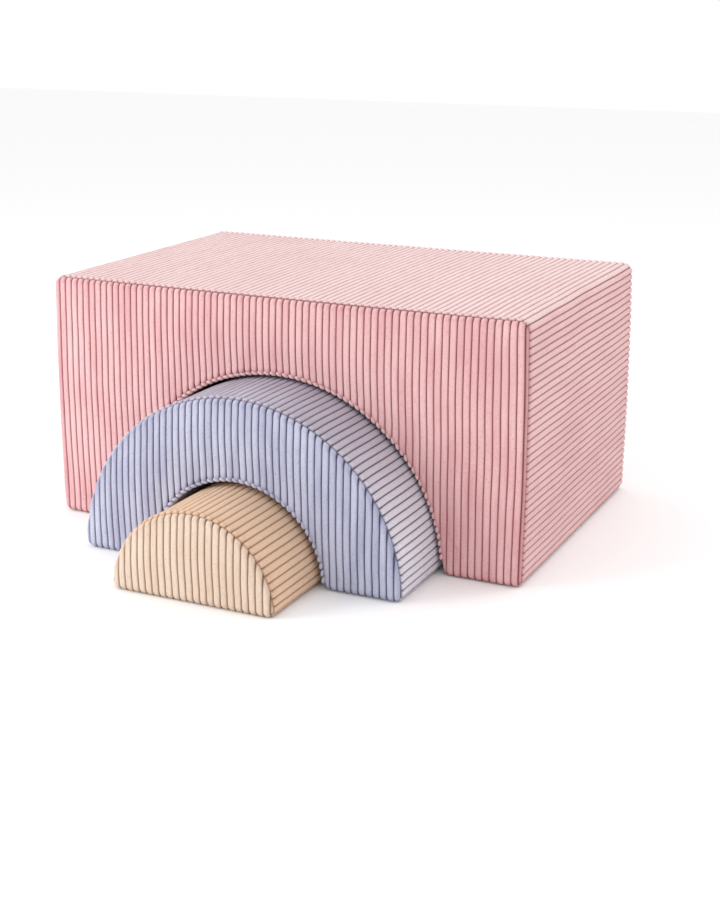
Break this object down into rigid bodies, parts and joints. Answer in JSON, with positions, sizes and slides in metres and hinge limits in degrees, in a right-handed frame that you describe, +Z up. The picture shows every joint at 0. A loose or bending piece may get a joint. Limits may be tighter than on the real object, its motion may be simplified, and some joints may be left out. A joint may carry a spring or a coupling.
{
  "type": "nesting foam play block set",
  "caption": "Soft nesting play set in ribbed corduroy: a tunnel block, an arch that fits the tunnel and a half-round that fits the arch, with zip-off covers.",
  "frame": {"origin": "on the floor, at the middle of the set's bounding box with each piece drawn out 120 mm ahead of the one round it", "axes": "+X across the set to the right seen from the front, +Y from the front to the back along the tunnel, +Z up"},
  "size_m": [0.75, 0.7345, 0.37],
  "materials": {
    "pink_corduroy": "wide-wale corduroy, soft nap",
    "label_cloth": "plain weave, matt",
    "foam": "open-cell foam, matt",
    "liner": "plain weave, matt",
    "pink_thread": "plain weave, matt",
    "zip_coil": "satin nylon",
    "zip_metal": "satin plated",
    "pink_zip_tape": "plain weave, matt",
    "blue_corduroy": "wide-wale corduroy, soft nap",
    "blue_thread": "plain weave, matt",
    "blue_zip_tape": "plain weave, matt",
    "sand_corduroy": "wide-wale corduroy, soft nap",
    "sand_thread": "plain weave, matt",
    "sand_zip_tape": "plain weave, matt"
  },
  "bodies": {
    "block": {"block_back_panel_lower": "pink_corduroy", "block_back_panel_upper": "pink_corduroy", "block_care_label": "label_cloth", "block_foam_core": "foam", "block_foot_panel_left": "pink_corduroy", "block_foot_panel_right": "pink_corduroy", "block_front_panel": "pink_corduroy", "block_inner_liner": "liner", "block_outer_band": "pink_corduroy", "block_seam_thread_back": "pink_thread", "block_seam_thread_feet": "pink_thread", "block_seam_thread_front": "pink_thread", "block_tunnel_lining": "pink_corduroy", "block_zip_coils": "zip_coil", "block_zip_stops": "zip_coil", "block_zip_tapes": "pink_zip_tape"},
    "block_zip_slider": {"block_zip_slider": "zip_metal"},
    "block_zip_pull": {"block_zip_pull": "zip_metal"},
    "arch": {"arch_back_panel_inner": "blue_corduroy", "arch_back_panel_outer": "blue_corduroy", "arch_care_label": "label_cloth", "arch_foam_core": "foam", "arch_foot_panel_left": "blue_corduroy", "arch_foot_panel_right": "blue_corduroy", "arch_front_panel": "blue_corduroy", "arch_inner_band": "blue_corduroy", "arch_inner_liner": "liner", "arch_outer_band": "blue_corduroy", "arch_seam_thread_back": "blue_thread", "arch_seam_thread_feet": "blue_thread", "arch_seam_thread_front": "blue_thread", "arch_zip_coils": "zip_coil", "arch_zip_stops": "zip_coil", "arch_zip_tapes": "blue_zip_tape"},
    "arch_zip_slider": {"arch_zip_slider": "zip_metal"},
    "arch_zip_pull": {"arch_zip_pull": "zip_metal"},
    "half_round": {"half_round_back_panel_lower": "sand_corduroy", "half_round_back_panel_upper": "sand_corduroy", "half_round_base_panel": "sand_corduroy", "half_round_care_label": "label_cloth", "half_round_foam_core": "foam", "half_round_front_panel": "sand_corduroy", "half_round_inner_liner": "liner", "half_round_outer_band": "sand_corduroy", "half_round_seam_thread_back": "sand_thread", "half_round_seam_thread_feet": "sand_thread", "half_round_seam_thread_front": "sand_thread", "half_round_zip_coils": "zip_coil", "half_round_zip_stops": "zip_coil", "half_round_zip_tapes": "sand_zip_tape"},
    "half_round_zip_slider": {"half_round_zip_slider": "zip_metal"},
    "half_round_zip_pull": {"half_round_zip_pull": "zip_metal"}
  },
  "joints": [
    {"name": "arch_slide", "type": "slide", "parent": "block", "child": "arch", "axis": [0, 1, 0], "range_m": [-0.4, 0.12]},
    {"name": "half_round_slide", "type": "slide", "parent": "arch", "child": "half_round", "axis": [0, 1, 0], "range_m": [-0.4, 0.12]},
    {"name": "block_zip_slide", "type": "slide", "parent": "block", "child": "block_zip_slider", "axis": [1, 0, 0], "range_m": [0, 0.5993]},
    {"name": "block_pull_flip", "type": "hinge", "parent": "block_zip_slider", "child": "block_zip_pull", "pos_m": [-0.29965, 0.3675, 0.314], "axis": [0, 0, 1], "range_deg": [0, 180]},
    {"name": "arch_zip_slide", "type": "hinge", "parent": "arch", "child": "arch_zip_slider", "pos_m": [0, 0.245, 0], "axis": [0, 1, 0], "range_deg": [0, 143.85]},
    {"name": "arch_pull_flip", "type": "hinge", "parent": "arch_zip_slider", "child": "arch_zip_pull", "pos_m": [-0.18348, 0.2475, 0.05987], "axis": [-0.9507, 0, 0.3102], "range_deg": [0, 180]},
    {"name": "half_round_zip_slide", "type": "slide", "parent": "half_round", "child": "half_round_zip_slider", "axis": [1, 0, 0], "range_m": [0, 0.15477]},
    {"name": "half_round_pull_flip", "type": "hinge", "parent": "half_round_zip_slider", "child": "half_round_zip_pull", "pos_m": [-0.07738, 0.1275, 0.042], "axis": [0, 0, 1], "range_deg": [0, 180]}
  ]
}
